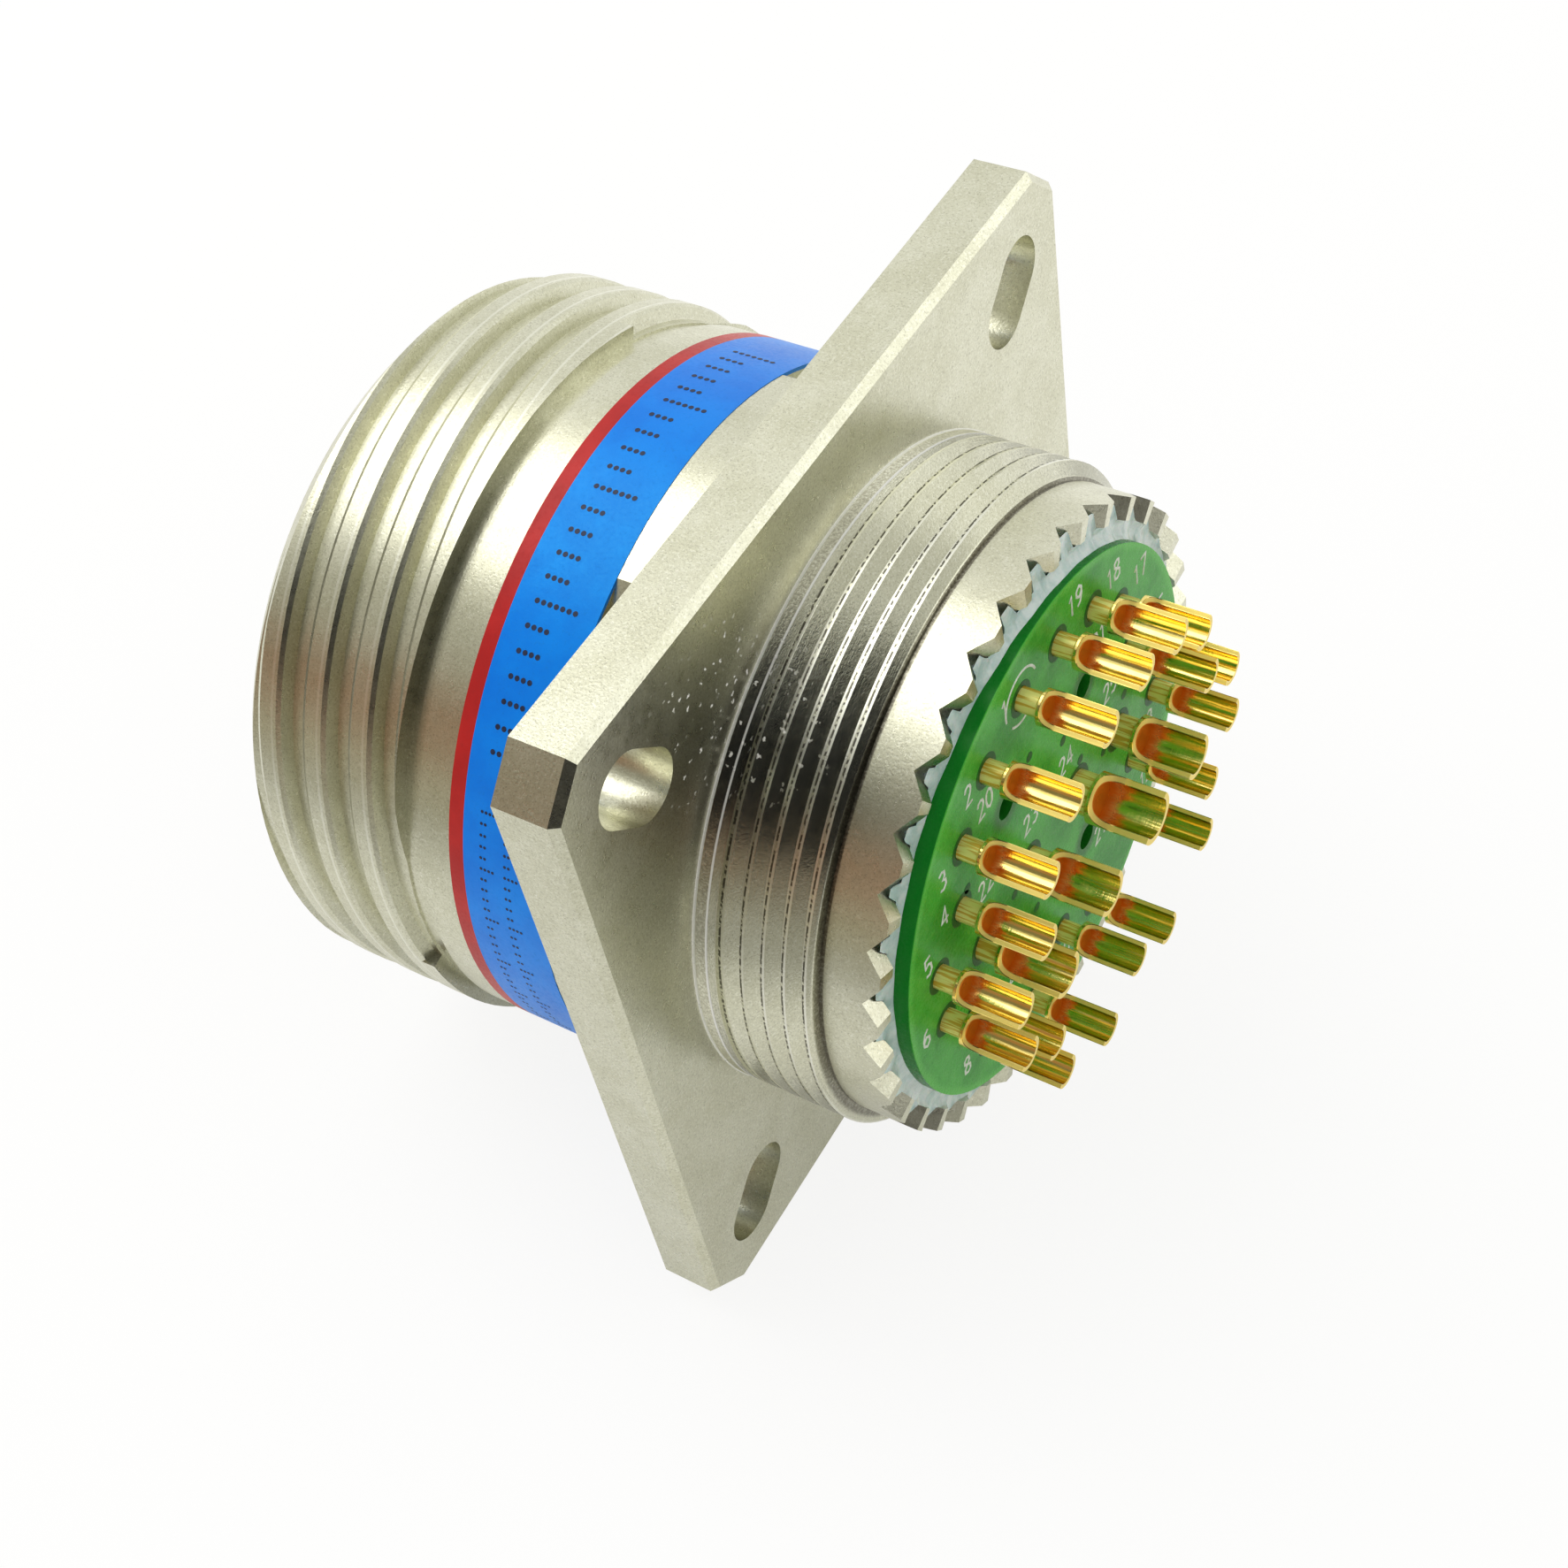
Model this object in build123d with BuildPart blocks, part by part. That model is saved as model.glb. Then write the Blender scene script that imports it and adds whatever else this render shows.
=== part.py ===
from build123d import *
import os
from math import cos, pi, radians, sin, sqrt

os.makedirs("parts", exist_ok=True)

# Square flange receptacle with solder cups behind a round board.
# The axis runs along X. The mating end points to -X and the cups to +X.
# The origin is on the axis, in the plane of the flange's front face. Units are mm.

# Flange
flange_side = 39.7
flange_thickness = 2.9
flange_corner = 1.9
flange_rear_bevel = 0.35
slot_width = 3.25
slot_travel = 1.84
slot_to_corner = 4.13
slot_outer_radius = (flange_side - flange_corner) / sqrt(2) - slot_to_corner
slot_middle_radius = slot_outer_radius - slot_travel / 2

# Mating barrel and its triple start thread
front_length = 20.07
thread_radius = 17.46
thread_depth = 0.66
thread_starts = 3
thread_pitch = 2.54
thread_lead = thread_starts * thread_pitch
thread_crest = 0.9
thread_shoulder_width = 0.2
thread_shoulder_depth = 0.12
thread_root_width = 0.8
thread_above = 0.8
thread_phase = -1.1
thread_run_out_gap = 0.05
rim_bevel = 1.06
rim_radius = thread_radius - rim_bevel
relief_start = -11.15
relief_depth = 0.76
relief_radius = thread_radius - relief_depth
land_start = -10.2
land_radius = 16.95
flat_distance = 15.7
seam_angle = 40

# Colour bands
red_start = -8.55
blue_start = -7.8
band_end = -3.7
band_depth = 0.15
band_proud = 0.03

# Rear barrel, its fine thread and its toothed end
ring_end = 3.6
undercut_end = 4.0
undercut_radius = 14.5
fine_radius = 15.5
fine_depth = 0.6
fine_pitch = 1.0
fine_crest = 0.25
fine_root_width = 0.2
fine_crest_at_top = 4.12
fine_above = 0.12
fine_end = 8.45
tail_start = 8.6
tail_radius = 14.75
tooth_count = 36
tooth_root = 10.57
tooth_height = 0.75
tooth_flat = 0.62
tooth_angle = 3.7
rear_length = tooth_root + tooth_height
notch_margin = 0.2

# Bores and keyways
front_bore = 14.5
mouth_bevel = 0.3
insert_face = -5.2
shoulder_bore = 12.9
shoulder_rear = -3.0
rear_bore = 13.7
key_depth = 0.9
key_widths = {90: 3.2, 170: 2.0, 232: 2.0, 286: 2.0, 23: 2.0}

# Inserts, seal, potting and board
clearance = 0.05
seal_thickness = 1.0
seal_radius = 14.3
insert_front_length = 2.0
insert_rear = 8.2
board_radius = 12.85
board_rear = 10.7
board_front = 11.7
potting_rise = 0.15
empty_hole_radius = 0.65

# Contacts. Places are (y, z) seen from the cup end, mirrored about the Z axis.
small_places = [
    (1.65, 10.15), (4.85, 9.1), (7.25, 6.9), (7.9, 3.45), (10.2, 1.55),
    (10.2, -1.7), (7.9, -4.1), (7.3, -7.3), (3.15, -9.65),
]
small_centre = (0, -8.15)
large_places = [(-6.55, -0.7), (-2.25, -0.2), (2.25, -0.2), (6.55, -0.7)]
empty_places = [(3.6, 5.4), (3.0, -4.5)]
cup_tip = 15.7
pin_standing = 6.0
cup_facing = 120
scoop_level = 0.12
hole_clearance = 0.03
contact_sizes = {
    "small": {"pin": 0.51, "neck": 0.55, "cup": 0.82, "bore": 0.6, "neck_length": 0.9},
    "medium": {"pin": 0.79, "neck": 0.8, "cup": 1.08, "bore": 0.82, "neck_length": 0.9},
    "large": {"pin": 1.19, "neck": 1.0, "cup": 1.25, "bore": 0.95, "neck_length": 0.9},
}


def groove_cutter(radius, lead, start, end, section):
    """Solid swept round X, whose removal leaves one thread groove.

    The section gives half the groove's width at heights from the crest, going down.
    """
    path = Helix(
        pitch=lead, height=end - start, radius=radius,
        center=(start, 0, 0), direction=(1, 0, 0),
    )
    first = path @ 0
    with BuildPart() as cutter:
        with BuildSketch(Plane(origin=first, x_dir=(0, first.Y, first.Z), z_dir=path % 0)):
            with BuildLine():
                Polyline(section + [(r, -half) for r, half in reversed(section)], close=True)
            make_face()
        sweep(path=path, is_frenet=True)
    return cutter.part


def triple_grooves():
    """The three grooves of the mating thread, each running out into the relief."""
    start = -front_length - thread_pitch / 2
    end = land_start - (thread_pitch - thread_crest) / 2 - thread_run_out_gap
    top = (thread_pitch - thread_crest) / 2
    first = groove_cutter(
        thread_radius, thread_lead, start, end,
        [(thread_above, top), (0, top),
         (-thread_shoulder_depth, top - thread_shoulder_width),
         (-thread_depth, thread_root_width / 2)],
    )
    turn = 360 * (start - thread_phase - thread_pitch / 2) / thread_lead
    return [
        first.rotate(Axis.X, turn - 90 + 360 * k / thread_starts) for k in range(thread_starts)
    ]


def fine_groove():
    """The groove of the rear thread, from the undercut out over the tail."""
    start = undercut_end
    flank = (fine_pitch - fine_crest - fine_root_width) / 2 / fine_depth
    first = groove_cutter(
        fine_radius, fine_pitch, start, tail_start + fine_pitch,
        [(fine_above, fine_root_width / 2 + flank * (fine_depth + fine_above)),
         (-fine_depth, fine_root_width / 2)],
    )
    turn = 360 * (start - fine_crest_at_top - fine_pitch / 2) / fine_pitch
    return first.rotate(Axis.X, turn)


def notch_plane(angle):
    """Plane facing outwards just inside the wall, for one notch between two teeth."""
    outwards = (0, cos(radians(angle)), sin(radians(angle)))
    inside = rear_bore - notch_margin
    return Plane(origin=[inside * step for step in outwards], x_dir=(1, 0, 0), z_dir=outwards)


mating_grooves = triple_grooves()
rear_groove = fine_groove()
notch_planes = [notch_plane(tooth_angle + k * 360 / tooth_count) for k in range(tooth_count)]
notch_half = (2 * pi * tail_radius / tooth_count - tooth_flat) / 2
notch_slope = notch_half / tooth_height

with BuildPart() as flange:
    with BuildSketch(Plane.YZ):
        square = Rectangle(flange_side, flange_side)
        chamfer(square.vertices(), flange_corner)
    extrude(amount=flange_thickness)
    chamfer(flange.edges().group_by(Axis.X)[-1], flange_rear_bevel)
    with BuildSketch(Plane.YZ):
        with PolarLocations(slot_middle_radius, 4, start_angle=45):
            SlotCenterToCenter(slot_travel, slot_width)
    extrude(amount=flange_thickness, mode=Mode.SUBTRACT)

# Shell, one machined piece. The barrel comes first, as the threads are cut in plain cylinders.
# Its profile stands at an angle, which keeps the seam of the round faces off the grooves' ends.
with BuildPart() as shell:
    with BuildSketch(Plane.XY.rotated((seam_angle, 0, 0))):
        with BuildLine():
            Polyline(
                (-front_length, 0),
                (-front_length, rim_radius),
                (-front_length + rim_bevel, thread_radius),
                (relief_start, thread_radius),
                (relief_start, relief_radius),
                (land_start, relief_radius),
                (land_start, land_radius),
                (red_start, land_radius),
                (red_start, land_radius - band_depth),
                (band_end, land_radius - band_depth),
                (band_end, land_radius),
                (flange_thickness / 2, land_radius),
                (flange_thickness / 2, fine_radius),
                (rear_length, fine_radius),
                (rear_length, 0),
                close=True,
            )
        make_face()
    revolve(axis=Axis.X)
    for groove in mating_grooves:
        add(groove, mode=Mode.SUBTRACT)
    add(rear_groove, mode=Mode.SUBTRACT)
    with BuildSketch(Plane.XY):
        with BuildLine():
            Polyline(
                (ring_end, undercut_radius),
                (undercut_end, undercut_radius),
                (undercut_end, fine_radius + 1),
                (ring_end, fine_radius + 1),
                close=True,
            )
        make_face()
        with BuildLine():
            Polyline(
                (fine_end, fine_radius),
                (tail_start, tail_radius),
                (rear_length + 1, tail_radius),
                (rear_length + 1, fine_radius + 1),
                (fine_end, fine_radius + 1),
                close=True,
            )
        make_face()
    revolve(axis=Axis.X, mode=Mode.SUBTRACT)
    with BuildSketch(Plane.YZ.offset(band_end)):
        with PolarLocations(flat_distance + land_radius / 2, 4, start_angle=45):
            Rectangle(land_radius, land_radius)
    extrude(amount=-band_end, mode=Mode.SUBTRACT)
    add(flange.part)
    with BuildSketch(Plane.XY):
        with BuildLine():
            Polyline(
                (-front_length, 0),
                (-front_length, front_bore + mouth_bevel),
                (-front_length + mouth_bevel, front_bore),
                (insert_face, front_bore),
                (insert_face, shoulder_bore),
                (shoulder_rear, shoulder_bore),
                (shoulder_rear, rear_bore),
                (rear_length, rear_bore),
                (rear_length, 0),
                close=True,
            )
        make_face()
    revolve(axis=Axis.X, mode=Mode.SUBTRACT)
    for angle, width in key_widths.items():
        with BuildSketch(Plane.YZ.offset(-front_length)):
            with PolarLocations(front_bore, 1, start_angle=angle):
                Rectangle(2 * key_depth, width)
        extrude(amount=insert_face + front_length, mode=Mode.SUBTRACT)
    with BuildSketch(*notch_planes):
        with BuildLine():
            Polyline(
                (tooth_root, 0),
                (rear_length + notch_margin, notch_half + notch_slope * notch_margin),
                (rear_length + notch_margin, -notch_half - notch_slope * notch_margin),
                close=True,
            )
        make_face()
    extrude(amount=tail_radius - rear_bore + 2 * notch_margin, mode=Mode.SUBTRACT)
shell.part.label = "shell"
export_step(shell.part, "parts/shell.step")


# Colour bands, each a thin ring laid in the seat
def band(start, end):
    """Ring between two places on the axis, a little proud of the land."""
    with BuildPart() as ring:
        with BuildSketch(Plane.YZ.offset(start)):
            Circle(land_radius + band_proud)
            Circle(land_radius - band_depth, mode=Mode.SUBTRACT)
        extrude(amount=end - start)
    return ring.part


red_band = band(red_start, blue_start)
red_band.label = "red_band"
export_step(red_band, "parts/red_band.step")
blue_band = band(blue_start, band_end)
blue_band.label = "blue_band"
export_step(blue_band, "parts/blue_band.step")


# Places of the contacts, in the order of their numbers
def mirrored(places):
    """Each place on the near side, and then its mirror image, going round."""
    return [(-y, z) for y, z in places]


small = mirrored(small_places) + [small_centre] + list(reversed(small_places))
contacts = [(y, z, "small") for y, z in small]
contacts += [(y, z, "large" if k == 2 else "medium") for k, (y, z) in enumerate(large_places)]
empty = [(side * y, z) for y, z in empty_places for side in (-1, 1)]


def passages(front, rear, key):
    """Solids of the clear way of every contact between two places on the axis."""
    with BuildPart() as ways:
        for size, sizes in contact_sizes.items():
            with BuildSketch(Plane.YZ.offset(front)):
                with Locations(*[(y, z) for y, z, kind in contacts if kind == size]):
                    Circle(sizes[key] + hole_clearance)
            extrude(amount=rear - front)
    return ways.part


seal_front = insert_face - insert_front_length - seal_thickness
seal_rear = seal_front + seal_thickness
with BuildPart() as seal:
    with BuildSketch(Plane.YZ.offset(seal_front)):
        Circle(seal_radius)
    extrude(amount=seal_thickness)
    add(passages(seal_front, seal_rear, "pin"), mode=Mode.SUBTRACT)
seal.part.label = "face_seal"
export_step(seal.part, "parts/face_seal.step")

with BuildPart() as front_insert:
    with BuildSketch(Plane.YZ.offset(seal_rear)):
        Circle(front_bore - clearance)
    extrude(amount=insert_face - seal_rear)
    with BuildSketch(Plane.YZ.offset(insert_face)):
        Circle(shoulder_bore - clearance)
    extrude(amount=shoulder_rear - insert_face)
    add(passages(seal_rear, shoulder_rear, "pin"), mode=Mode.SUBTRACT)
front_insert.part.label = "front_insert"
export_step(front_insert.part, "parts/front_insert.step")

with BuildPart() as rear_insert:
    with BuildSketch(Plane.YZ.offset(shoulder_rear)):
        Circle(rear_bore - clearance)
    extrude(amount=insert_rear - shoulder_rear)
    add(passages(shoulder_rear, insert_rear, "pin"), mode=Mode.SUBTRACT)
rear_insert.part.label = "rear_insert"
export_step(rear_insert.part, "parts/rear_insert.step")

with BuildPart() as potting:
    with BuildSketch(Plane.YZ.offset(insert_rear)):
        Circle(rear_bore)
    extrude(amount=board_rear + potting_rise - insert_rear)
    with BuildSketch(Plane.YZ.offset(board_rear)):
        Circle(board_radius)
    extrude(amount=potting_rise, mode=Mode.SUBTRACT)
    add(passages(insert_rear, board_rear, "pin"), mode=Mode.SUBTRACT)
potting.part.label = "potting"
export_step(potting.part, "parts/potting.step")

with BuildPart() as board:
    with BuildSketch(Plane.YZ.offset(board_rear)):
        Circle(board_radius)
        with Locations(*empty):
            Circle(empty_hole_radius, mode=Mode.SUBTRACT)
    extrude(amount=board_front - board_rear)
    add(passages(board_rear, board_front, "neck"), mode=Mode.SUBTRACT)
board.part.label = "circuit_board"
export_step(board.part, "parts/circuit_board.step")


def solder_contact(y, z, kind):
    """One turned contact: pin to the front, neck and open solder cup to the rear."""
    size = contact_sizes[kind]
    pin, neck, cup, bore = size["pin"], size["neck"], size["cup"], size["bore"]
    pin_tip = seal_front - pin_standing
    neck_start = board_rear
    cup_start = board_front + size["neck_length"]
    with BuildPart() as contact:
        with BuildSketch(Plane.XY):
            with BuildLine():
                Polyline(
                    (pin_tip, 0),
                    (pin_tip, pin * 0.4),
                    (pin_tip + pin * 0.8, pin),
                    (neck_start, pin),
                    (neck_start, neck),
                    (cup_start, neck),
                    (cup_start + 0.15, cup),
                    (cup_tip, cup),
                    (cup_tip, bore),
                    (cup_start + 0.35, bore),
                    (cup_start + 0.2, 0),
                    close=True,
                )
            make_face()
        revolve(axis=Axis.X)
        with BuildSketch(Plane.XZ):
            with BuildLine():
                scoop_start = cup_start + 0.25
                scoop_flat = scoop_start + cup
                Line((scoop_start, cup + 0.3), (scoop_start, cup))
                RadiusArc(
                    (scoop_start, cup), (scoop_flat, scoop_level * cup), -cup,
                )
                Polyline(
                    (scoop_flat, scoop_level * cup),
                    (cup_tip + 0.1, scoop_level * cup),
                    (cup_tip + 0.1, cup + 0.3),
                    (scoop_start, cup + 0.3),
                )
            make_face()
        extrude(amount=cup + 0.1, both=True, mode=Mode.SUBTRACT)
    turned = contact.part.rotate(Axis.X, cup_facing - 90)
    return turned.moved(Location((0, y, z)))


for number, (y, z, kind) in enumerate(contacts, 1):
    piece = solder_contact(y, z, kind)
    piece.label = f"contact_{number:02d}"
    export_step(piece, f"parts/contact_{number:02d}.step")
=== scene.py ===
import random
from math import cos, hypot, pi, radians, sin

import bmesh
import bpy
from mathutils import Matrix, Vector


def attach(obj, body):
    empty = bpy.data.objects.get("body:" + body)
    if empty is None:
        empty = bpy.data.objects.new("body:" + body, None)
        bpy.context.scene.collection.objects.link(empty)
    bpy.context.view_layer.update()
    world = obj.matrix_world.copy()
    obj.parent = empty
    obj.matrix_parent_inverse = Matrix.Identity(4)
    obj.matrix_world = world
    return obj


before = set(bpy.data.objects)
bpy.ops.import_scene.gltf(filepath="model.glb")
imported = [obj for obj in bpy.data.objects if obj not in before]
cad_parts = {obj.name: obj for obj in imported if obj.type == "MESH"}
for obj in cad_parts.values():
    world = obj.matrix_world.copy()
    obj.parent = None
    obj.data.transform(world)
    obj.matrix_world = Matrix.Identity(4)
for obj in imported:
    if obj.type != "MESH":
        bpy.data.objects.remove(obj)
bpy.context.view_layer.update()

MM = 0.001
random.seed(7)

# Places of the model, in millimetres, the same as the solids have
board_face = 11.7
board_radius = 12.85
potting_level = 10.85
wall_radius = 13.7
fine_crest_at_top = 4.12
fine_pitch = 1.0
ring_end = 3.6
fine_start = 4.0
fine_end = 8.45
undercut_radius = 14.5
fine_top = 15.5
flange_rear = 2.9
band_radius = 16.98
blue_start = -7.8
blue_end = -3.7
tooth_count = 36
tooth_root = 10.57
tooth_height = 0.75
tooth_angle = 3.7
notch_half = 0.977
thread_crest_at_top = -1.1
thread_pitch = 2.54
thread_crest = 0.9
thread_starts = 3
thread_top = 17.46
mating_end = -20.07
thread_end = -11.15
small_places = [
    (1.65, 10.15), (4.85, 9.1), (7.25, 6.9), (7.9, 3.45), (10.2, 1.55),
    (10.2, -1.7), (7.9, -4.1), (7.3, -7.3), (3.15, -9.65),
]
small_centre = (0, -8.15)
large_places = [(-6.55, -0.7), (-2.25, -0.2), (2.25, -0.2), (6.55, -0.7)]
places = [(-y, z) for y, z in small_places] + [small_centre]
places += list(reversed(small_places)) + large_places
place_sizes = ["small"] * 19 + ["medium", "medium", "large", "medium"]
contact_sizes = {"small": (0.55, 0.82, 0.6), "medium": (0.8, 1.08, 0.82), "large": (1.0, 1.25, 0.95)}
neck_length = 0.9
empty_places = [(-3.6, 5.4), (3.6, 5.4), (-3.0, -4.5), (3.0, -4.5)]
via_places = [
    (1.48, 4.06), (7.3, 1.0), (5.08, -0.61), (2.88, 1.24), (-1.42, 6.17), (-3.72, -0.74),
    (-1.97, -3.86), (-7.29, 4.12), (4.6, 7.4), (1.2, -6.1), (5.7, -5.6), (-5.4, -6.4),
]
via_radius = 0.27
labels = {
    1: (-2.99, 10.78), 2: (-6.35, 9.22), 3: (-8.97, 6.68), 4: (-9.21, 4.55), 5: (-10.86, 3.09),
    6: (-11.8, -0.99), 7: (-9.4, -3.3), 8: (-9.14, -6.85), 9: (-4.75, -10.4), 10: (0, -9.95),
    11: (4.75, -10.4), 12: (9.1, -6.9), 13: (9.4, -3.3), 14: (11.7, -0.9), 15: (10.9, 3.05),
    16: (9.25, 4.5), 17: (9.3, 7.17), 18: (6.81, 9.28), 19: (3.36, 11.01), 20: (-5.2, 7.38),
    21: (5.2, 6.9), 22: (-5.89, 2.58), 23: (-1.79, 2.37), 24: (1.6, 2.52), 25: (5.98, 2.82),
    26: (-4.4, -5.6), 27: (4.4, -5.6),
}
digit_height = 1.1
digit_across = digit_height * 0.78
digit_width = 0.6
digit_pitch = 0.82
digit_line = (0.14, 0.025)
first_place_ring = ((-1.6, 10.2), 1.35)
first_place_arcs = [(20, 190), (225, 300)]
ring_line = (0.13, 0.03)
mask_thickness = 0.012
digit_strokes = {
    "0": [(0.3, 1), (0.08, 0.85), (0, 0.5), (0.08, 0.15), (0.3, 0), (0.52, 0.15), (0.6, 0.5),
          (0.52, 0.85), (0.3, 1)],
    "1": [(0.12, 0.8), (0.35, 1), (0.35, 0)],
    "2": [(0.02, 0.78), (0.12, 0.95), (0.32, 1), (0.52, 0.92), (0.58, 0.74), (0.5, 0.55), (0, 0),
          (0.6, 0)],
    "3": [(0.03, 0.92), (0.3, 1), (0.54, 0.88), (0.54, 0.64), (0.3, 0.54), (0.56, 0.42),
          (0.58, 0.16), (0.3, 0), (0.02, 0.1)],
    "4": [(0.45, 0), (0.45, 1), (0, 0.3), (0.62, 0.3)],
    "5": [(0.55, 1), (0.08, 1), (0.05, 0.56), (0.32, 0.64), (0.56, 0.5), (0.58, 0.2), (0.34, 0),
          (0.02, 0.08)],
    "6": [(0.5, 0.97), (0.2, 0.86), (0.03, 0.5), (0.03, 0.2), (0.28, 0), (0.56, 0.16),
          (0.56, 0.42), (0.3, 0.58), (0.05, 0.4)],
    "7": [(0, 1), (0.6, 1), (0.22, 0)],
    "8": [(0.3, 0.54), (0.06, 0.7), (0.08, 0.92), (0.3, 1), (0.52, 0.92), (0.54, 0.7),
          (0.3, 0.54), (0.03, 0.36), (0.04, 0.1), (0.3, 0), (0.56, 0.1), (0.57, 0.36),
          (0.3, 0.54)],
    "9": [(0.1, 0.03), (0.4, 0.14), (0.57, 0.5), (0.57, 0.8), (0.32, 1), (0.04, 0.84),
          (0.04, 0.58), (0.3, 0.42), (0.55, 0.6)],
}

# Rows of dots on the blue band: how many marks, the first one's angle, the angle between two,
# the dots in every fifth and in each other mark, where its rows start from the band's middle,
# the way between two dots, and a dot's radius
dot_rows = [
    (22, 64, 3.7, 7, 4, (-0.96,), 0.32, 0.125),
    (26, 151, 1.9, 4, 2, (-1.1, 0.15), 0.2, 0.075),
]
dot_sides = 10
dot_proud = 0.006

# Marks on the rear thread, in millimetres along the axis from its crest's middle; the first three place its
# painted highlights and its line of painted shade
crest_highlight = (-0.04, 0.06)
crest_shade_line = (-0.15, -0.04)
root_highlight_end = -0.42
valley_start = 0.05
valley_lean = 0.45

# Dust: the middle of its spot, and how far its specks start and stop thinning out
dust_centre = (flange_rear + 0.5, -10.0, 14.6)
dust_reach = (2.0, 5.5)

# Camera, fitted to the photograph's view, in millimetres and degrees
camera_place = (44.509, -55.543, 82.516)
camera_target = (2.755, -6.777, 5.845)
camera_roll = -12.566
camera_lens = 54.03

# Resting plane: the flange's front edge and the barrel's mouth touch the floor
floor_point = (0, 0, -19.85)
floor_tilt = 7.17
floor_side = 4000

# The lamp: its direction from the object, distance, side and brightness
lamp = ((-0.42, 0.04, 0.91), 600, 420, 1.8)

# Cards that only reflections show: centre, width, height and brightness
cards = {
    "dark_card": ((92, -42, 84), 92, 150, (0.004, 0.0045, 0.005)),
    "low_dark_card": ((42, -86, 74), 86, 100, (0.004, 0.0045, 0.005)),
    "dim_card": ((-20, -104, 84), 66, 66, (0.20, 0.19, 0.16)),
    "pale_card": ((-74, -78, 84), 64, 66, (0.48, 0.47, 0.40)),
    "side_card": ((200, -50, -4), 210, 120, (0.045, 0.04, 0.035)),
    "brown_card": ((-30, -106, 38), 150, 42, (0.34, 0.21, 0.14)),
    "beige_card": ((-50, -112, -4), 190, 50, (0.42, 0.39, 0.29)),
}


class Shader:
    """A node tree, with short calls that add a node and return its output."""

    def __init__(self, owner):
        owner.use_nodes = True
        self.owner = owner
        self.tree = owner.node_tree
        self.tree.nodes.clear()

    def put(self, socket, value):
        if isinstance(value, bpy.types.NodeSocket):
            self.tree.links.new(value, socket)
        elif socket.type == "RGBA":
            socket.default_value = (*value, 1.0)
        else:
            socket.default_value = value

    def fill(self, made, values):
        for socket, value in zip(made.inputs, values):
            self.put(socket, value)

    def node(self, kind, settings=None, **values):
        made = self.tree.nodes.new("ShaderNode" + kind)
        for key, value in (settings or {}).items():
            setattr(made, key, value)
        for key, value in values.items():
            self.put(made.inputs[key.replace("_", " ")], value)
        return made

    def math(self, operation, *values):
        made = self.node("Math", {"operation": operation})
        self.fill(made, values)
        return made.outputs[0]

    def plus(self, first, second):
        return self.math("ADD", first, second)

    def minus(self, first, second):
        return self.math("SUBTRACT", first, second)

    def either(self, first, second):
        return self.math("MAXIMUM", first, second)

    def times(self, first, *others):
        for other in others:
            first = self.math("MULTIPLY", first, other)
        return first

    def length(self, y, z):
        return self.math("SQRT", self.plus(self.times(y, y), self.times(z, z)))

    def vector(self, operation, *values):
        made = self.node("VectorMath", {"operation": operation})
        self.fill(made, values)
        return made.outputs["Value" if operation == "DISTANCE" else "Vector"]

    def scaled(self, vector, size):
        return self.node("VectorMath", {"operation": "SCALE"}, Vector=vector, Scale=size).outputs[0]

    def split(self, vector):
        return self.node("SeparateXYZ", Vector=vector).outputs[:]

    def join(self, x, y, z):
        return self.node("CombineXYZ", X=x, Y=y, Z=z).outputs[0]

    def noise(self, vector, scale, detail=2.0, roughness=0.5):
        made = self.node("TexNoise", Vector=vector, Scale=scale, Detail=detail, Roughness=roughness)
        return made.outputs["Fac"]

    def ramp(self, value, low, high, start=0.0, end=1.0):
        made = self.node("MapRange", {"interpolation_type": "SMOOTHSTEP"}, Value=value)
        for key, given in (("From Min", low), ("From Max", high), ("To Min", start), ("To Max", end)):
            self.put(made.inputs[key], given)
        return made.outputs[0]

    def fall(self, value, low, high, start=1.0):
        """Falls from its start to nothing between two values."""
        return self.ramp(value, low, high, start, 0.0)

    def band(self, value, low, high, soft):
        """One between two values and nothing beyond them, with soft ends."""
        return self.times(self.ramp(value, low - soft, low + soft),
                          self.fall(value, high - soft, high + soft))

    def mix(self, share, first, second):
        made = self.node("Mix", {"data_type": "RGBA"})
        for place, value in ((0, share), (6, first), (7, second)):
            self.put(made.inputs[place], value)
        return made.outputs[2]

    def bump(self, height, distance, normal=None):
        made = self.node("Bump", Height=height, Distance=distance * MM, Strength=1.0)
        if normal is not None:
            self.put(made.inputs["Normal"], normal)
        return made.outputs[0]

    def show(self, shader, kind="OutputMaterial"):
        """Sends a shader to the output, and returns the material or the world."""
        self.node(kind, Surface=shader)
        return self.owner

    def finish(self, **values):
        """Closes the tree with a Principled shader, and returns the material."""
        return self.show(self.node("BsdfPrincipled", **values).outputs[0])


class Surface(Shader):
    """A material's tree with the object's own coordinates in millimetres."""

    def __init__(self, name):
        super().__init__(bpy.data.materials.new(name))
        self.where = self.scaled(self.node("TexCoord").outputs["Object"], 1000.0)
        self.x, self.y, self.z = self.split(self.where)
        self.radius = self.length(self.y, self.z)

    def grown(self, along, across):
        """The place with the axis and the two other directions stretched."""
        return self.join(self.times(self.x, along), self.times(self.y, across),
                         self.times(self.z, across))


def from_crest(s, crest_at_top, pitch, starts):
    """Signed way along the axis from the nearest thread crest, in millimetres."""
    along = s.math("DIVIDE", s.minus(s.x, crest_at_top), pitch)
    phase = s.minus(along, s.times(s.turn, float(starts)))
    return s.times(s.minus(phase, s.math("ROUND", phase)), pitch)


def dashes(s, along_thread, across, scale, low, high):
    """Broken stretches along a thread."""
    return s.ramp(s.noise(s.join(s.times(s.turn, along_thread), across, 0.0), scale, 1.0, 0.5), low, high)


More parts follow.
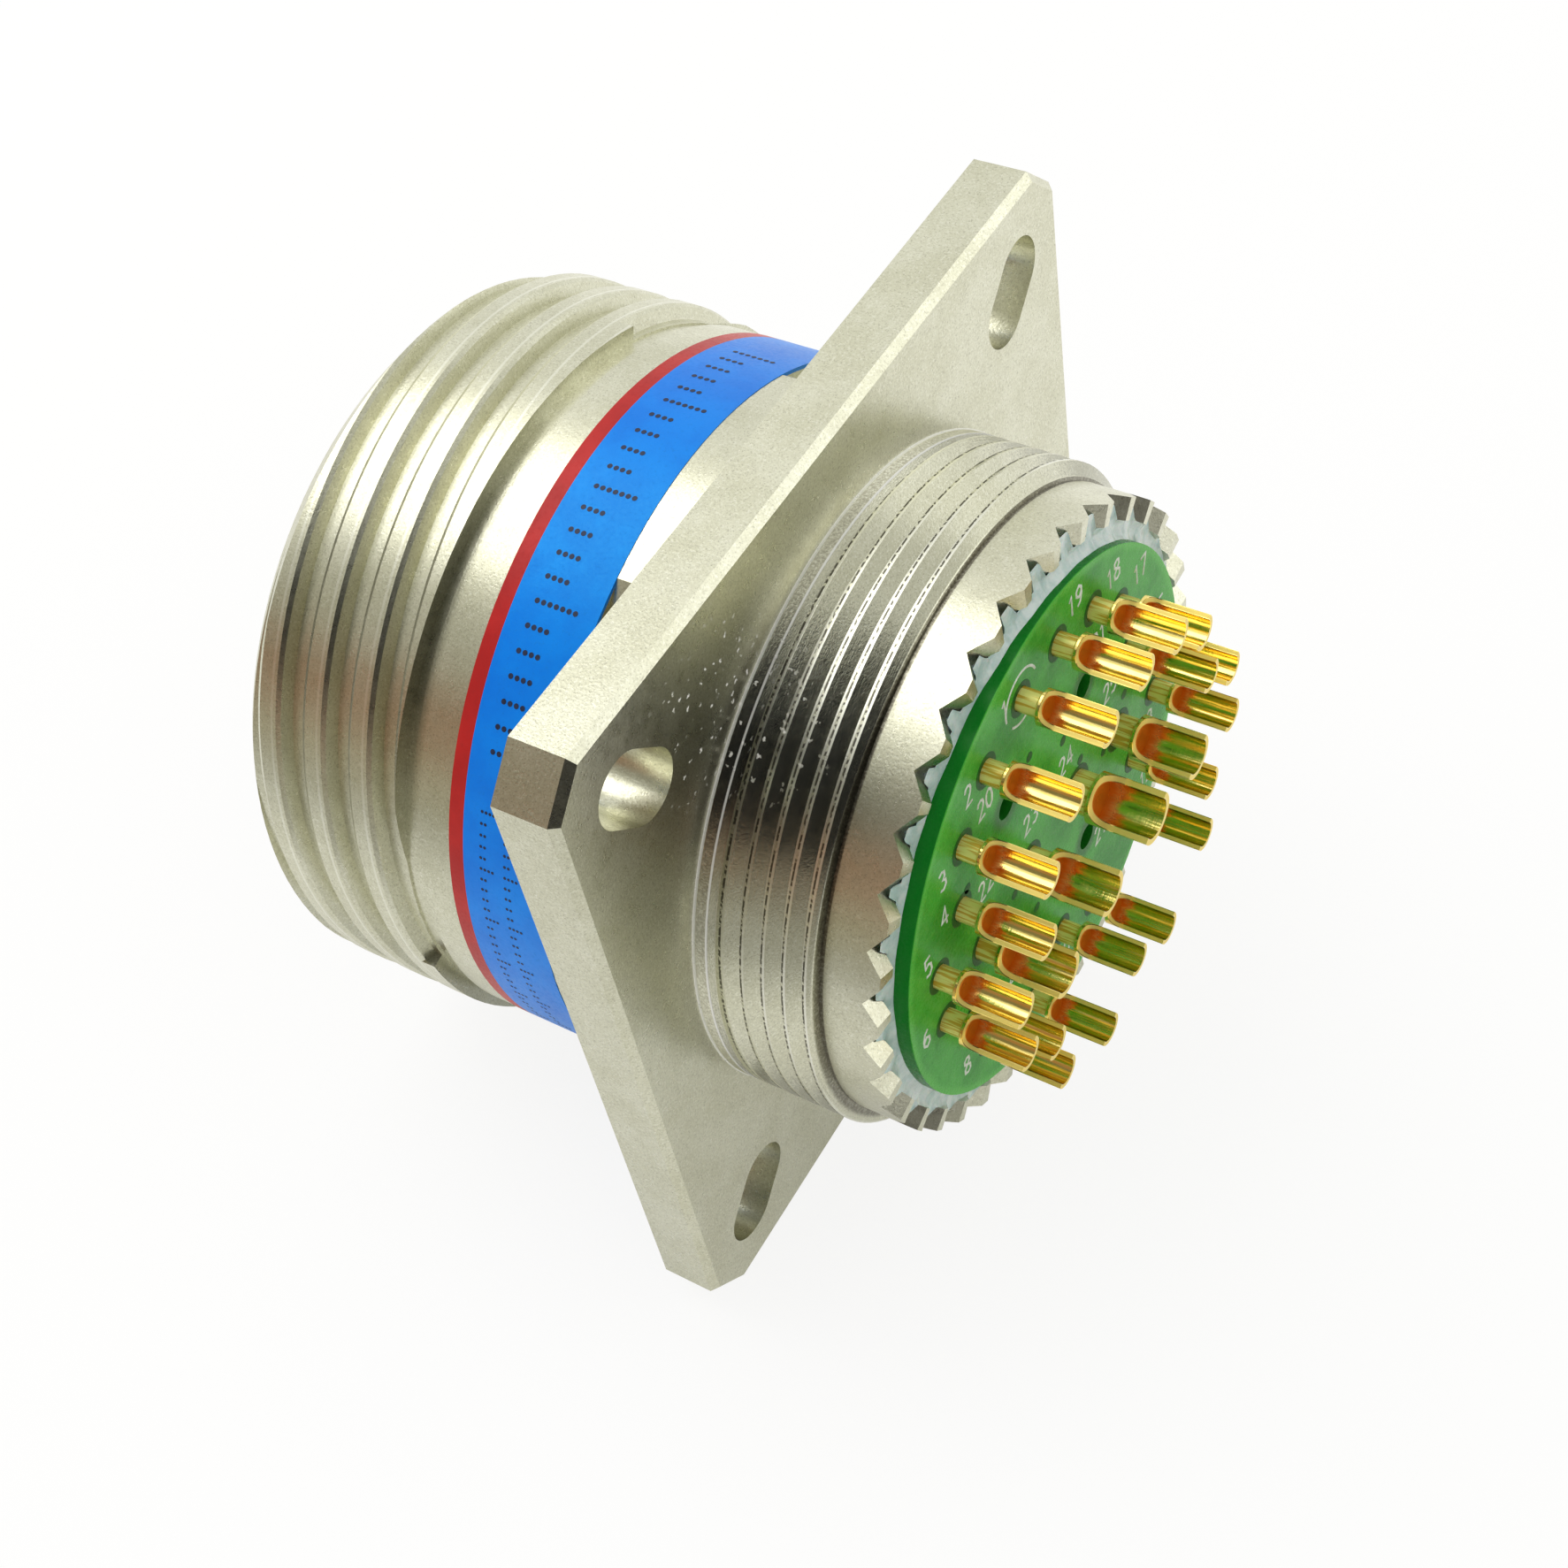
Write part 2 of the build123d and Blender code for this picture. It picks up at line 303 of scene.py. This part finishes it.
def plating_tint(s):
    """Cloudy pale nickel with darker and lighter grains."""
    cloud = s.noise(s.where, 0.3, 3.0, 0.6)
    pits = s.noise(s.where, 16.0, 1.0, 0.5)
    tint = s.mix(s.ramp(cloud, 0.35, 0.65), (0.655, 0.65, 0.505), (0.715, 0.712, 0.575))
    tint = s.mix(s.ramp(s.blotch, 0.52, 0.75, 0.0, 0.30), tint, (0.55, 0.54, 0.42))
    tint = s.mix(s.ramp(s.grain, 0.52, 0.72, 0.0, 0.42), tint, (0.42, 0.41, 0.32))
    tint = s.mix(s.ramp(pits, 0.60, 0.72, 0.0, 0.35), tint, (0.28, 0.265, 0.21))
    return s.mix(s.ramp(s.grain, 0.46, 0.34, 0.0, 0.5), tint, (0.86, 0.86, 0.75))


def mark_fine_thread(s, tint, fine, threaded):
    """Painted highlights on the crest and root edges, a broken line of painted shade beside each crest, and
    painted shade that darkens the cone.
    """
    on_top = s.times(threaded, s.ramp(s.radius, fine_top - 0.12, fine_top - 0.03))
    at_root = s.times(threaded, s.fall(s.radius, fine_top - 0.55, fine_top - 0.5))
    line = s.times(on_top, dashes(s, 97.0, fine, 6.0, 0.40, 0.50), s.band(fine, *crest_shade_line, 0.01))
    edge = s.either(s.times(on_top, s.band(fine, *crest_highlight, 0.01)),
                    s.times(at_root, s.fall(fine, root_highlight_end - 0.01, root_highlight_end + 0.01)))
    cone = s.times(s.band(s.x, fine_end + 0.07, fine_end + 0.29, 0.03),
                   s.band(s.radius, undercut_radius, fine_top - 0.04, 0.03))
    # Painted highlight on the crest and root edges, then painted shade in the broken line and on the cone
    tint = s.mix(s.times(edge, 0.75), tint, (0.92, 0.92, 0.84))
    tint = s.mix(s.times(line, 0.9), tint, (0.07, 0.065, 0.05))
    return s.mix(s.times(cone, s.ramp(s.grain, 0.3, 0.6, 0.6, 0.9)), tint, (0.15, 0.135, 0.105))


def mark_ring(s, tint):
    """Sandy face of the plain ring, with painted highlights on its bright rims, whose mask is returned as
    well.
    """
    on_ring = s.band(s.radius, fine_top - 0.04, fine_top + 0.04, 0.02)
    sand = s.times(on_ring, s.band(s.x, flange_rear, ring_end, 0.04), s.ramp(s.grain, 0.35, 0.65, 0.1, 0.7))
    # Painted highlight along both rims of the ring
    rims = s.either(s.band(s.x, flange_rear - 0.02, flange_rear + 0.12, 0.02),
                    s.band(s.x, ring_end - 0.09, ring_end + 0.02, 0.02))
    rims = s.times(on_ring, rims)
    return s.mix(rims, s.mix(sand, tint, (0.40, 0.385, 0.30)), (0.96, 0.96, 0.90)), rims


def mark_mating_thread(s, tint):
    """Painted highlights on the bright lips of the mating thread's crests, and painted shade in a broken
    dark seam beside them.
    """
    coarse = from_crest(s, thread_crest_at_top, thread_pitch, thread_starts)
    on_thread = s.times(s.band(s.x, mating_end + 0.4, thread_end, 0.05),
                        s.ramp(s.radius, thread_top - 0.22, thread_top - 0.16))
    half = thread_crest / 2
    # Painted highlight on the lips, and painted shade in the seam beside them
    lips = s.band(s.math("ABSOLUTE", coarse), half - 0.10, half + 0.02, 0.03)
    seam = s.times(s.band(coarse, half + 0.10, half + 0.19, 0.03),
                   dashes(s, 110.0, coarse, 5.0, 0.36, 0.48))
    tint = s.mix(s.times(on_thread, lips, 0.6), tint, (0.90, 0.90, 0.80))
    return s.mix(s.times(on_thread, seam, 0.8), tint, (0.12, 0.11, 0.08))


def stray_dust(s):
    """Torn pale specks behind the flange, near one spot of the rear thread."""
    torn = s.node("TexNoise", Vector=s.where, Scale=5.0, Detail=2.0).outputs["Color"]
    torn = s.vector("ADD", s.scaled(torn, 0.4), s.where)
    speck = s.node("TexVoronoi", Vector=torn, Scale=2.6, Randomness=1.0).outputs
    small = s.fall(speck["Distance"], 0.15, 0.30)
    chosen = s.ramp(s.split(speck["Color"])[0], 0.66, 0.70)
    there = s.times(s.fall(s.vector("DISTANCE", s.where, dust_centre), *dust_reach),
                    s.ramp(s.x, flange_rear - 0.1, flange_rear - 0.02))
    return s.times(small, chosen, there)


def valley_normal(s, valley):
    """The surface's normal, with a thread's valleys leaning towards the rear."""
    out = s.vector("NORMALIZE", s.join(0.0, s.y, s.z))
    slope = s.vector("ADD", out, (valley_lean, 0, 0))
    return s.vector("NORMALIZE", s.mix(valley, s.node("NewGeometry").outputs["Normal"], slope))


def nickel():
    """Satin nickel plating: sandy grain, marks of turning, thread crests with painted highlights and
    painted shade, rims with painted highlights, and stray dust.
    """
    s = Surface("nickel_plating")
    s.turn = s.minus(s.math("DIVIDE", s.math("ARCTAN2", s.z, s.y), 2 * pi), 0.25)
    s.grain = s.noise(s.where, 8.0, 2.0, 0.7)
    s.blotch = s.noise(s.where, 1.6, 4.0, 0.6)
    turned = s.noise(s.join(s.times(s.x, 5.0), s.times(s.radius, 5.0), s.turn), 2.4, 3.0, 0.7)
    fine = from_crest(s, fine_crest_at_top, fine_pitch, 1)
    threaded = s.band(s.x, fine_start, fine_end + 0.05, 0.03)
    dust = stray_dust(s)
    under = s.times(s.band(s.x, flange_rear + 0.13, fine_start + 0.02, 0.01),
                    s.fall(s.radius, fine_top + 0.02, fine_top + 0.06))
    valley = s.either(s.times(threaded, s.ramp(fine, valley_start, valley_start + 0.03)), under)
    valley = s.times(valley, s.ramp(s.radius, undercut_radius - 0.2, undercut_radius - 0.1))

    tint, rims = mark_ring(s, mark_fine_thread(s, plating_tint(s), fine, threaded))
    tint = s.mix(s.times(dust, 0.9), mark_mating_thread(s, tint), (0.95, 0.94, 0.90))
    rough = s.plus(s.ramp(s.blotch, 0.3, 0.7, 0.23, 0.29), s.times(s.grain, 0.08))
    rough = s.minus(s.plus(rough, s.times(dust, 0.4)), s.times(valley, 0.07))
    normal = s.bump(s.grain, 0.008, s.bump(turned, 0.004, valley_normal(s, valley)))
    # Less metal where the dust and the painted rim highlights are, so their colour shows
    dull = s.either(dust, s.times(rims, 0.6))
    return s.finish(Base_Color=tint, Metallic=s.minus(1.0, dull), Roughness=rough, Normal=normal)


def paint(name, deep, light, gloss):
    """Satin paint of a colour band, a little uneven."""
    s = Surface(name)
    cloud = s.noise(s.where, 0.4, 3.0, 0.6)
    grain = s.noise(s.where, 6.0, 2.0, 0.6)
    tint = s.mix(s.ramp(cloud, 0.3, 0.7), deep, light)
    tint = s.mix(s.ramp(grain, 0.55, 0.75, 0.0, 0.25), tint, tuple(c * 0.7 for c in deep))
    return s.finish(Base_Color=tint, Roughness=s.ramp(grain, 0.2, 0.8, 0.30, 0.44),
                    Normal=s.bump(grain, 0.005), Specular_IOR_Level=0.9, Specular_Tint=gloss)


def board_green():
    """Green mask over copper and glass cloth, darker on the cut edge, with painted shade round the empty
    holes and a painted highlight on the rim's lip.
    """
    s = Surface("board_mask")
    cloud = s.noise(s.where, 0.28, 3.0, 0.55)
    cloth = s.noise(s.where, 5.0, 2.0, 0.5)
    warp = s.noise(s.join(0.0, s.times(s.y, 0.4), s.times(s.z, 5.0)), 1.0, 2.0, 0.5)
    tint = s.mix(s.ramp(cloud, 0.38, 0.64), (0.020, 0.29, 0.018), (0.060, 0.43, 0.040))
    tint = s.mix(s.ramp(cloth, 0.55, 0.75, 0.0, 0.3), tint, (0.012, 0.20, 0.012))
    tint = s.mix(s.ramp(warp, 0.5, 0.7, 0.0, 0.18), tint, (0.09, 0.48, 0.06))
    # Painted shade round each empty hole
    empty = 0.0
    for y0, z0 in empty_places:
        off = s.length(s.minus(s.y, y0), s.minus(s.z, z0))
        empty = s.either(empty, s.fall(off, 0.8, 1.5))
    tint = s.mix(s.times(empty, 0.85), tint, (0.008, 0.13, 0.010))
    below = s.fall(s.x, board_face - 0.08, board_face - 0.02)
    rim = s.times(below, s.ramp(s.radius, board_radius - 0.1, board_radius - 0.05))
    tint = s.mix(rim, tint, (0.006, 0.19, 0.016))
    # Painted highlight: lighter green along the lip of the board's rim
    painted_lip_highlight = s.times(s.ramp(s.x, board_face - 0.06, board_face - 0.02),
                  s.ramp(s.radius, board_radius - 0.5, board_radius - 0.1))
    tint = s.mix(s.times(painted_lip_highlight, 0.6), tint, (0.12, 0.56, 0.08))
    inside = s.times(below, s.fall(s.radius, board_radius - 0.3, board_radius - 0.2))
    tint = s.mix(inside, tint, (0.010, 0.18, 0.014))
    return s.finish(Base_Color=tint, Roughness=s.ramp(cloth, 0.2, 0.8, 0.22, 0.34),
                    Normal=s.bump(cloth, 0.006), Specular_IOR_Level=0.14)


def resin():
    """Pale poured resin at the rim, with painted shade making it dark green under the board."""
    s = Surface("potting_resin")
    cloud = s.noise(s.where, 1.3, 4.0, 0.6)
    fine = s.noise(s.where, 6.0, 2.0, 0.6)
    tint = s.mix(s.ramp(cloud, 0.3, 0.7), (0.48, 0.64, 0.60), (0.78, 0.86, 0.83))
    tint = s.mix(s.ramp(fine, 0.55, 0.75, 0.0, 0.4), tint, (0.84, 0.90, 0.88))
    # Painted shade: dark green where the resin lies under the board
    under = s.fall(s.radius, board_radius - 0.4, board_radius - 0.3)
    tint = s.mix(under, tint, (0.030, 0.30, 0.030))
    return s.finish(Base_Color=tint, Roughness=0.15, Normal=s.bump(fine, 0.01, s.bump(cloud, 0.05)),
                    Subsurface_Weight=0.2, Subsurface_Scale=0.6 * MM, Coat_Weight=0.2)


def gold(name, y0, z0, neck, cup, bore):
    """Bright gold plating, with a painted reflection: deep orange where a cup's closed end mirrors its own
    walls; and a painted highlight on the neck's upper side.
    """
    s = Surface(name)
    marks = s.noise(s.grown(9.0, 1.0), 1.5, 2.0, 0.6)
    cloud = s.noise(s.where, 1.3, 2.0, 0.5)
    drawn = s.noise(s.grown(0.25, 4.0), 1.8, 2.0, 0.6)
    off_y, off_z = s.minus(s.y, y0), s.minus(s.z, z0)
    off = s.length(off_y, off_z)
    inner = s.fall(off, bore + 0.01, bore + 0.05)
    start = board_face + neck_length + 0.3
    # Painted reflection: deep orange inside the cup near its closed end, with a ragged edge
    ragged = s.plus(s.x, s.times(s.minus(drawn, 0.5), 0.7))
    deep = s.times(inner, s.fall(ragged, start + 0.12 * cup, start + 0.72 * cup),
                   s.ramp(s.x, start - 0.25, start - 0.15))
    cut = s.times(s.ramp(s.x, start - 0.3, start - 0.2), s.band(off, bore + 0.03, cup - 0.03, 0.02))
    # Darker olive on the contact just above the board
    olive_near_board = s.fall(s.x, board_face + 0.05, board_face + 0.25)
    low = s.fall(s.x, board_face + neck_length, board_face + neck_length + 0.1)
    # Painted highlight on the neck's upper side, in bright and dark streaks, with less metal there
    lit = s.times(low, s.ramp(s.plus(off_z, s.times(off_y, -0.4)), 0.0, 0.4 * neck))
    painted_neck_streaks = s.mix(s.ramp(drawn, 0.47, 0.58), (1.0, 0.92, 0.30), (0.72, 0.42, 0.02))

    tint = s.mix(s.ramp(cloud, 0.3, 0.7), (1.0, 0.75, 0.19), (1.0, 0.82, 0.29))
    for share, colour in ((s.ramp(drawn, 0.52, 0.75, 0.0, 0.35), (0.95, 0.62, 0.10)),
                          (s.times(inner, 0.5), (1.0, 0.82, 0.27)),
                          (deep, (0.80, 0.23, 0.008)),
                          (s.times(cut, 0.8), (1.0, 0.78, 0.20)),
                          (s.times(olive_near_board, 0.3), (0.60, 0.42, 0.05)),
                          (s.times(lit, 0.85), painted_neck_streaks)):
        tint = s.mix(share, tint, colour)
    soft = s.either(s.either(deep, cut), s.times(low, 0.6))
    rough = s.plus(s.ramp(cloud, 0.3, 0.7, 0.11, 0.18), s.times(soft, 0.3))
    dull = s.either(s.either(s.times(deep, 0.65), s.times(cut, 0.5)), s.times(lit, 0.7))
    return s.finish(Base_Color=tint, Metallic=s.minus(1.0, dull), Roughness=rough,
                    Normal=s.bump(drawn, 0.006, s.bump(marks, 0.003)))


def plain(name, dark, light, rough, gloss=0.5):
    """A quiet surface with slight unevenness, for rubber, moulded plastic and ink."""
    s = Surface(name)
    cloud = s.noise(s.where, 4.0, 3.0, 0.6)
    grain = s.noise(s.where, 20.0, 2.0, 0.6)
    return s.finish(Base_Color=s.mix(s.ramp(cloud, 0.3, 0.7), dark, light),
                    Roughness=s.ramp(cloud, 0.3, 0.7, rough - 0.06, rough + 0.06),
                    Normal=s.bump(grain, 0.006), Specular_IOR_Level=gloss)


def dress(node, material):
    """Gives a solid its material."""
    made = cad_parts[node]
    made.data.materials.clear()
    made.data.materials.append(material)


moulding = plain("insert_moulding", (0.012, 0.012, 0.013), (0.02, 0.02, 0.021), 0.45)
potting_resin = resin()
dress("shell", nickel())
dress("red_band", paint("red_paint", (0.46, 0.010, 0.010), (0.58, 0.016, 0.014), (0.5, 0.3, 0.3)))
dress("blue_band", paint("blue_paint", (0.0, 0.17, 0.88), (0.0, 0.225, 0.98), (0.15, 1.0, 1.0)))
dress("face_seal", plain("seal_rubber", (0.11, 0.022, 0.014), (0.15, 0.03, 0.02), 0.6))
dress("front_insert", moulding)
dress("rear_insert", moulding)
dress("potting", potting_resin)
dress("circuit_board", board_green())
for number, ((y, z), size) in enumerate(zip(places, place_sizes), 1):
    dress(f"contact_{number:02d}", gold(f"gold_plating_{number:02d}", y, z, *contact_sizes[size]))


def piece(name, vertices, faces, material, slot, smooth=False):
    """A mesh piece that rides on the body, from points in millimetres."""
    mesh = bpy.data.meshes.new(name)
    mesh.from_pydata([tuple(c * MM for c in v) for v in vertices], [], faces)
    mesh.update()
    shape = bmesh.new()
    shape.from_mesh(mesh)
    bmesh.ops.recalc_face_normals(shape, faces=shape.faces)
    shape.to_mesh(mesh)
    shape.free()
    if smooth:
        mesh.polygons.foreach_set("use_smooth", [True] * len(mesh.polygons))
    mesh.materials.append(material)
    made = bpy.data.objects.new(name, mesh)
    bpy.context.scene.collection.objects.link(made)
    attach(made, "root")


def bead(points, width, height):
    """A printed line through points on the board: a low rounded ridge, with its faces."""
    vertices, faces = [], []
    closed = points[0] == points[-1]
    run = points[:-1] if closed else points
    section = [(-0.5, 0.0), (-0.32, 0.8), (0.0, 1.0), (0.32, 0.8), (0.5, 0.0)]
    for k, (y, z) in enumerate(run):
        before = run[k - 1] if k or closed else None
        after = run[(k + 1) % len(run)] if k + 1 < len(run) or closed else None
        steps = []
        for a, b in ((before, (y, z)), ((y, z), after)):
            if a is not None and b is not None:
                size = hypot(b[0] - a[0], b[1] - a[1])
                steps.append(((b[0] - a[0]) / size, (b[1] - a[1]) / size))
        along = (sum(c[0] for c in steps), sum(c[1] for c in steps))
        size = max(hypot(*along), 0.4)
        along = (along[0] / size, along[1] / size)
        reach = 1.0
        if len(steps) == 2:
            reach = 1.0 / max(0.75, abs(along[0] * steps[0][0] + along[1] * steps[0][1]))
        over = (-along[1], along[0])
        for side, rise in section:
            shift = side * width * reach
            vertices.append((board_face + rise * height, y + over[0] * shift, z + over[1] * shift))
    count, rows = len(section), len(run)
    for k in range(rows if closed else rows - 1):
        a, b = k * count, ((k + 1) % rows) * count
        for j in range(count - 1):
            faces.append((a + j, a + j + 1, b + j + 1, b + j))
    if not closed:
        faces.append(tuple(range(count)))
        faces.append(tuple((rows - 1) * count + j for j in reversed(range(count))))
    return vertices, faces


def join_shapes(shapes):
    """One list of points and faces out of many."""
    vertices, faces = [], []
    for points, sides in shapes:
        start = len(vertices)
        vertices += points
        faces += [tuple(start + k for k in side) for side in sides]
    return vertices, faces


def ring_on_board(y, z, inner, outer, height, count=28):
    """A low ring, or a disc where the inner radius is nothing, lying on the board."""
    vertices, faces = [], []
    rows = [(outer - height, height), (outer, 0.0)]
    if inner:
        rows.insert(0, (inner, height))
    else:
        faces.append(tuple(range(count)))
    for radius, rise in rows:
        for k in range(count):
            angle = 2 * pi * k / count
            vertices.append((board_face + rise, y + radius * cos(angle), z + radius * sin(angle)))
    for row in range(len(rows) - 1):
        for k in range(count):
            a, b = row * count + k, row * count + (k + 1) % count
            faces.append((a, b, b + count, a + count))
    return vertices, faces


def numbers():
    """The board's plain position numbers and the broken ring round the first place."""
    shapes = []
    for number, (y, z) in labels.items():
        text = str(number)
        start = y - digit_across * (digit_pitch * (len(text) - 1) + digit_width) / 2
        for k, digit in enumerate(text):
            shapes.append(bead([(start + digit_across * (digit_pitch * k + u),
                                 z + (v - 0.5) * digit_height)
                                for u, v in digit_strokes[digit]], *digit_line))
    (middle_y, middle_z), radius = first_place_ring
    for first, last in first_place_arcs:
        angles = [radians(a) for a in range(first, last + 1, 10)]
        shapes.append(bead([(middle_y + radius * cos(a), middle_z + radius * sin(a))
                            for a in angles], *ring_line))
    return join_shapes(shapes)


def resin_rim():
    """Uneven resin between the board and the wall, creeping up both and into the notches."""
    around, across = 720, 9
    vertices, faces = [], []
    waves = [(random.uniform(3, 40), random.uniform(0, 2 * pi), random.uniform(0.3, 1.0))
             for _ in range(14)]
    for k in range(around):
        angle = 360 * k / around
        t = radians(angle)
        swell = [sum(a * sin(round(f) * t + p + shift * 1.9) for f, p, a in waves) / 3.2
                 for shift in range(3)]
        off = (angle - tooth_angle + 180 / tooth_count) % (360 / tooth_count) - 180 / tooth_count
        arc = abs(radians(off)) * (wall_radius + 0.4)
        heap = 0.42 * max(0.0, cos(radians(angle - 72))) ** 6 + 0.2 * max(
            0.0, cos(radians(angle - 232))) ** 6
        level = potting_level + 0.03 + 0.25 * heap + 0.02 * swell[2]
        room = notch_half * (level - tooth_root) / tooth_height
        opening = min(1.0, max(0.0, (room - arc) / 0.14))
        top = potting_level + 0.12 + heap + 0.05 * swell[0]
        climb = potting_level + 0.13 + 0.5 * heap + 0.05 * swell[1]
        outer = wall_radius + 0.01 + opening * (0.40 + 0.8 * heap + 0.06 * swell[1])
        for j in range(across):
            u = j / (across - 1)
            reach = board_radius - 0.01 + (outer - board_radius + 0.01) * u
            sag = (2 * u - 1) ** 2
            side = top if u < 0.5 else climb * (1 - opening) + (level - 0.05) * opening
            height = level + (side - level) * sag
            vertices.append((height, reach * cos(t), reach * sin(t)))
    for k in range(around):
        for j in range(across - 1):
            a, b = k * across + j, (k + 1) % around * across + j
            faces.append((a, a + 1, b + 1, b))
    return vertices, faces


def band_dots():
    """Rows of dots round the blue band, as an even scale of marks with no letters."""
    vertices, faces, spots = [], [], []
    middle = (blue_start + blue_end) / 2
    for marks, first, step, every_fifth, other, starts, gap, size in dot_rows:
        for k in range(marks):
            dots = other if k % 5 else every_fifth
            for start in starts:
                spots += [(middle + start + gap * j, first + step * k, size) for j in range(dots)]
    radius = band_radius + dot_proud
    for x, angle, size in spots:
        start = len(vertices)
        for k in range(dot_sides):
            t = 2 * pi * k / dot_sides
            turn = radians(angle) + size * cos(t) / band_radius
            vertices.append((x + size * sin(t), radius * cos(turn), radius * sin(turn)))
        faces.append(tuple(range(start, start + dot_sides)))
    return vertices, faces


white_ink = plain("white_ink", (0.62, 0.68, 0.58), (0.84, 0.88, 0.80), 0.5)
dark_ink = plain("dark_ink", (0.004, 0.012, 0.05), (0.010, 0.025, 0.09), 0.5)
# Dark green, for the vias and for the painted shadow rings round each contact's neck
dark_mask_and_neck_shadow = plain("mask_over_laminate", (0.004, 0.085, 0.012), (0.010, 0.13, 0.018), 0.35, 0.12)
piece("board_numbers", *numbers(), white_ink, "board", True)
# Painted shadow: a dark ring on the board round each contact's neck
piece("painted_neck_shadow_rings", *join_shapes([
    ring_on_board(y, z, contact_sizes[size][0] + 0.02, contact_sizes[size][0] + 0.3, mask_thickness)
    for (y, z), size in zip(places, place_sizes)]), dark_mask_and_neck_shadow, "board")
piece("board_vias", *join_shapes([
    ring_on_board(y, z, 0.0, via_radius, mask_thickness, 18) for y, z in via_places]),
    dark_mask_and_neck_shadow, "board")
piece("resin_rim", *resin_rim(), potting_resin, "potting", True)
piece("band_dots", *band_dots(), dark_ink, "blue_paint")


def place_camera():
    """The camera at the photograph's viewing angle."""
    data = bpy.data.cameras.new("camera")
    data.lens = camera_lens
    data.sensor_width = 36
    data.clip_start = 0.001
    made = bpy.data.objects.new("camera", data)
    bpy.context.scene.collection.objects.link(made)
    look = Vector(camera_target) - Vector(camera_place)
    turn = look.to_track_quat("-Z", "Y").to_matrix()
    roll = Matrix.Rotation(radians(camera_roll), 3, "Z")
    made.matrix_world = Matrix.Translation(Vector(camera_place) * MM) @ (turn @ roll).to_4x4()
    bpy.context.scene.camera = made


def staged_plane(name, centre, normal, width, height, material):
    """A flat rectangle that isn't part of the object."""
    mesh = bpy.data.meshes.new(name)
    w, h = width / 2 * MM, height / 2 * MM
    mesh.from_pydata([(-w, -h, 0), (w, -h, 0), (w, h, 0), (-w, h, 0)], [], [(0, 1, 2, 3)])
    made = bpy.data.objects.new(name, mesh)
    bpy.context.scene.collection.objects.link(made)
    turn = Vector(normal).to_track_quat("Z", "Y").to_matrix().to_4x4()
    made.matrix_world = Matrix.Translation(Vector(centre) * MM) @ turn
    mesh.materials.append(material)
    return made


def floor_material():
    """White paper, bright to the camera and in reflections, that keeps the shadow, with a painted shadow in
    reflections that dims it towards the -Y side.
    """
    s = Shader(bpy.data.materials.new("floor_paper"))
    path = s.node("LightPath").outputs
    seen = s.either(path["Is Camera Ray"], s.either(path["Is Glossy Ray"], path["Is Transmission Ray"]))
    paper = s.node("BsdfDiffuse", Color=(0.86, 0.86, 0.84)).outputs[0]
    across = s.split(s.node("NewGeometry").outputs["Position"])[1]
    # Painted shadow in reflections: glow and light share fall towards the -Y side
    near = s.ramp(across, -0.09, -0.03)
    share = s.mix(near, (0.42, 0.42, 0.40), (0.75, 0.75, 0.73))
    share = s.mix(path["Is Camera Ray"], share, (0.17, 0.17, 0.169))
    reflected_glow_with_painted_shadow = s.mix(near, (0.03, 0.03, 0.025), (0.22, 0.22, 0.21))
    reflected_glow_with_painted_shadow = s.mix(s.ramp(across, -0.01, 0.06), reflected_glow_with_painted_shadow, (0.38, 0.38, 0.37))
    base = s.mix(path["Is Camera Ray"], reflected_glow_with_painted_shadow, (0.845, 0.845, 0.842))
    lit = s.node("AddShader")
    s.fill(lit, (s.node("BsdfDiffuse", Color=share).outputs[0],
                 s.node("Emission", Color=base, Strength=1.0).outputs[0]))
    made = s.node("MixShader")
    s.fill(made, (seen, paper, lit.outputs[0]))
    return s.show(made.outputs[0])


def card_material(name, colour):
    """Even card that shows only in reflections."""
    s = Shader(bpy.data.materials.new(name))
    return s.show(s.node("Emission", Color=colour, Strength=1.0).outputs[0])


def card(name, centre, width, height, colour):
    """A card that faces the object, seen only in its reflections."""
    made = staged_plane(name, centre, [-c for c in centre], width, height,
                        card_material(name, colour))
    made.visible_camera = False
    made.visible_diffuse = False
    made.visible_shadow = False
    made.visible_transmission = False


def softbox(name, direction, distance, size, strength):
    """A square lamp that faces the object, whose strength is its brightness."""
    data = bpy.data.lights.new(name, "AREA")
    data.shape = "SQUARE"
    data.size = size * MM
    data.energy = strength * pi * (size * MM) ** 2
    data.color = (1.0, 0.985, 0.95)
    made = bpy.data.objects.new(name, data)
    bpy.context.scene.collection.objects.link(made)
    where = Vector(direction).normalized() * distance * MM
    turn = (-where).to_track_quat("-Z", "Y").to_matrix().to_4x4()
    made.matrix_world = Matrix.Translation(where) @ turn


def set_world():
    """Even pale light, white to the camera; metal sees a pale room with one dim side."""
    s = Shader(bpy.data.worlds.new("studio"))
    path = s.node("LightPath").outputs
    x, y, z = s.split(s.node("TexCoord").outputs["Generated"])
    pale = s.either(s.ramp(z, 0.38, 0.70), s.ramp(y, -0.05, 0.35))
    above = s.mix(s.ramp(x, -0.1, 0.3), (0.92, 0.92, 0.88), (0.62, 0.62, 0.57))
    sunny = s.times(s.ramp(x, -0.2, 0.6), s.fall(z, 0.55, 0.75))
    room = s.mix(pale, (0.22, 0.20, 0.165), s.mix(sunny, above, (1.55, 1.55, 1.5)))
    even = s.mix(path["Is Glossy Ray"], (0.72, 0.715, 0.70), room)
    colour = s.mix(path["Is Camera Ray"], even, (1, 1, 1))
    back = s.node("Background", Color=colour, Strength=1.0).outputs[0]
    bpy.context.scene.world = s.show(back, "OutputWorld")


place_camera()
floor_up = (sin(radians(floor_tilt)), 0, cos(radians(floor_tilt)))
staged_plane("floor", floor_point, floor_up, floor_side, floor_side, floor_material())
set_world()
softbox("overhead_softbox", *lamp)
for name, (centre, width, height, colour) in cards.items():
    card(name, centre, width, height, colour)
bpy.context.scene.view_settings.view_transform = "Standard"
